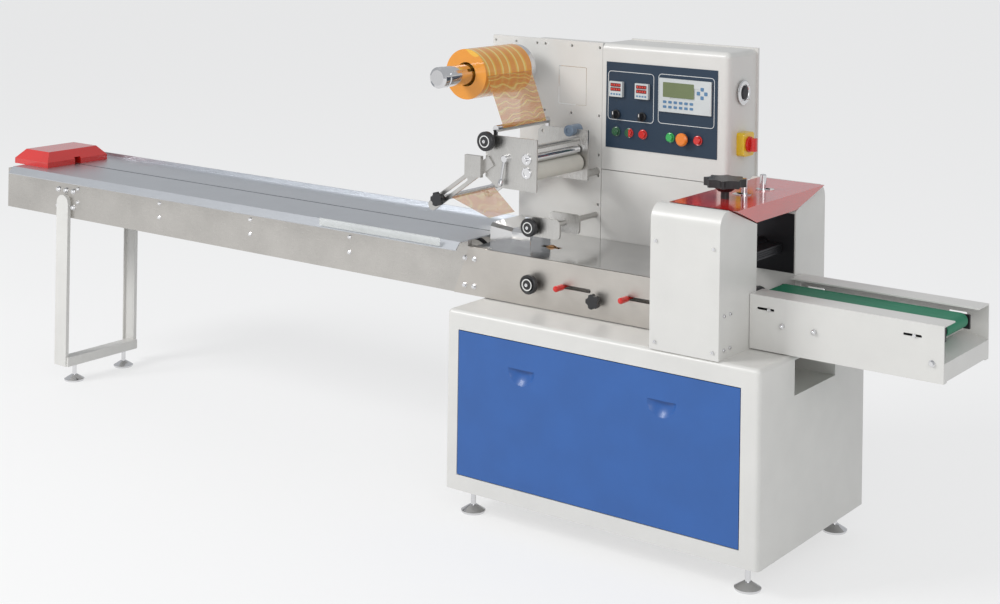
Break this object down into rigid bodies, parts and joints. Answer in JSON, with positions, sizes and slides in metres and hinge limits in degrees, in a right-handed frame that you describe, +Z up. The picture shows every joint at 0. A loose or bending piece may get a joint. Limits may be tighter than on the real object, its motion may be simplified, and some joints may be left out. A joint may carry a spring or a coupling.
{
  "type": "horizontal flow wrapper",
  "caption": "Packing machine: an infeed conveyor brings goods to a film former and end sealer on a cabinet; a short belt takes the packs away",
  "frame": {"origin": "middle of the overall footprint on the floor", "axes": "+X runs along the product flow towards the outfeed, +Y from the operator side to the back, +Z up"},
  "size_m": [3.771, 0.72, 1.389],
  "materials": {
    "white_enamel": "white powder coat",
    "blue_enamel": "blue powder coat",
    "stainless": "brushed",
    "polished_steel": "polished sheet",
    "chrome": "bright",
    "dark_steel": "blackened",
    "red_paint": "red gloss",
    "black_plastic": "moulded",
    "red_plastic": "sleeve",
    "yellow_plastic": "switch base",
    "orange_plastic": "button cap",
    "grey_plastic": "instrument case",
    "green_plastic": "button caps",
    "navy_sheet": "panel face",
    "printed_film": "printed film",
    "clear_film": "clear film",
    "green_belt": "conveyor belt",
    "roller_rubber": "pale roller cover",
    "bronze": "fin wheels"
  },
  "bodies": {
    "machine": {"back_panel": "white_enamel", "cabinet_door": "blue_enamel", "cabinet_shell": "white_enamel", "control_box": "white_enamel", "control_plate": "navy_sheet", "display_unit": "grey_plastic", "drive_housing": "white_enamel", "fascia_panel": "stainless", "film_web": "clear_film", "former_holder": "stainless", "forming_box": "polished_steel", "guide_bars": "chrome", "infeed_bearers": "stainless", "infeed_bed": "stainless", "infeed_chain": "dark_steel", "infeed_end_cover": "red_paint", "infeed_frame": "stainless", "leg_frame": "white_enamel", "levelling_feet": "chrome", "lower_panel": "white_enamel", "outfeed_bed_rails": "dark_steel", "outfeed_belt": "green_belt", "outfeed_frame": "white_enamel", "outfeed_rollers": "chrome", "pull_frame": "stainless", "push_buttons": "green_plastic", "sealer_cover": "red_paint", "sealer_front_housing": "white_enamel", "sealer_rear_housing": "white_enamel", "sealer_studs": "chrome", "switch_base": "yellow_plastic", "table_body": "white_enamel", "temperature_controllers": "grey_plastic", "tension_arms": "stainless", "work_table": "polished_steel"},
    "reel": {"reel_spindle": "chrome", "film_roll": "printed_film"},
    "drive_roller_body": {"drive_roller": "roller_rubber"},
    "nip_roller_body": {"nip_roller": "chrome"},
    "pull_wheel": {"pull_handwheel": "black_plastic"},
    "arm_clamp": {"arm_knob": "black_plastic"},
    "former_wheel": {"former_handwheel": "black_plastic"},
    "fin_drive": {"fin_wheels": "bronze"},
    "phase_wheel": {"fascia_handwheel": "black_plastic"},
    "star_clamp": {"fascia_star_knob": "black_plastic"},
    "left_lever": {"fascia_lever_left": "red_plastic"},
    "right_lever": {"fascia_lever_right": "red_plastic"},
    "upper_jaw": {"jaw_upper": "dark_steel"},
    "lower_jaw": {"jaw_lower": "dark_steel"},
    "height_wheel": {"sealer_handwheel": "black_plastic"},
    "main_switch": {"switch_handle": "red_plastic"},
    "left_selector": {"selector_left": "black_plastic"},
    "right_selector": {"selector_right": "black_plastic"},
    "jog_cap": {"jog_button": "orange_plastic"}
  },
  "joints": [
    {"name": "reel_spin", "type": "hinge", "parent": "machine", "child": "reel", "pos_m": [0.3005, -0.05315, 1.29], "axis": [0, 1, 0], "continuous": true},
    {"name": "drive_roller_spin", "type": "hinge", "parent": "machine", "child": "drive_roller_body", "pos_m": [0.5525, -0.031, 1.01], "axis": [0, 1, 0], "continuous": true},
    {"name": "nip_roller_spin", "type": "hinge", "parent": "machine", "child": "nip_roller_body", "pos_m": [0.5525, -0.037, 1.0515], "axis": [0, 1, 0], "continuous": true},
    {"name": "pull_handwheel_turn", "type": "hinge", "parent": "machine", "child": "pull_wheel", "pos_m": [0.4175, -0.188, 1.097], "axis": [0, 1, 0], "continuous": true},
    {"name": "arm_knob_turn", "type": "hinge", "parent": "machine", "child": "arm_clamp", "pos_m": [0.23066, -0.19365, 0.89766], "axis": [0, 1, 0], "continuous": true},
    {"name": "former_handwheel_turn", "type": "hinge", "parent": "machine", "child": "former_wheel", "pos_m": [0.5345, -0.12365, 0.837], "axis": [0, 1, 0], "continuous": true},
    {"name": "fin_wheels_spin", "type": "hinge", "parent": "machine", "child": "fin_drive", "pos_m": [0.5505, -0.03, 0.744], "axis": [0, 1, 0], "continuous": true},
    {"name": "fascia_handwheel_turn", "type": "hinge", "parent": "machine", "child": "phase_wheel", "pos_m": [0.5985, -0.2113, 0.688], "axis": [0, 1, 0], "continuous": true},
    {"name": "star_knob_turn", "type": "hinge", "parent": "machine", "child": "star_clamp", "pos_m": [0.82692, -0.20865, 0.671], "axis": [0, 1, 0], "continuous": true},
    {"name": "left_lever_slide", "type": "slide", "parent": "machine", "child": "left_lever", "axis": [1, 0, 0], "range_m": [0, 0.09]},
    {"name": "right_lever_slide", "type": "slide", "parent": "machine", "child": "right_lever", "axis": [1, 0, 0], "range_m": [0, 0.1]},
    {"name": "upper_jaw_spin", "type": "hinge", "parent": "machine", "child": "upper_jaw", "pos_m": [1.215, -0.03, 0.843], "axis": [0, 1, 0], "continuous": true},
    {"name": "lower_jaw_spin", "type": "hinge", "parent": "machine", "child": "lower_jaw", "pos_m": [1.215, -0.03, 0.697], "axis": [0, 1, 0], "continuous": true},
    {"name": "sealer_handwheel_turn", "type": "hinge", "parent": "machine", "child": "height_wheel", "pos_m": [1.227, -0.16, 1.04], "axis": [0, 0, 1], "continuous": true},
    {"name": "main_switch_turn", "type": "hinge", "parent": "machine", "child": "main_switch", "pos_m": [1.0908, 0.26, 1.1023], "axis": [1, 0, 0], "range_deg": [0, 90]},
    {"name": "selector_left_turn", "type": "hinge", "parent": "machine", "child": "left_selector", "pos_m": [0.6505, 0.16585, 1.1643], "axis": [0, 1, 0], "range_deg": [-45, 45]},
    {"name": "selector_right_turn", "type": "hinge", "parent": "machine", "child": "right_selector", "pos_m": [0.7465, 0.16585, 1.1643], "axis": [0, 1, 0], "range_deg": [-45, 45]},
    {"name": "jog_button_press", "type": "slide", "parent": "machine", "child": "jog_cap", "axis": [0, 1, 0], "range_m": [0, 0.004]}
  ],
  "couplings": [
    {"joint": "nip_roller_spin", "follows": "drive_roller_spin", "ratio": -2},
    {"joint": "lower_jaw_spin", "follows": "upper_jaw_spin", "ratio": -1}
  ]
}
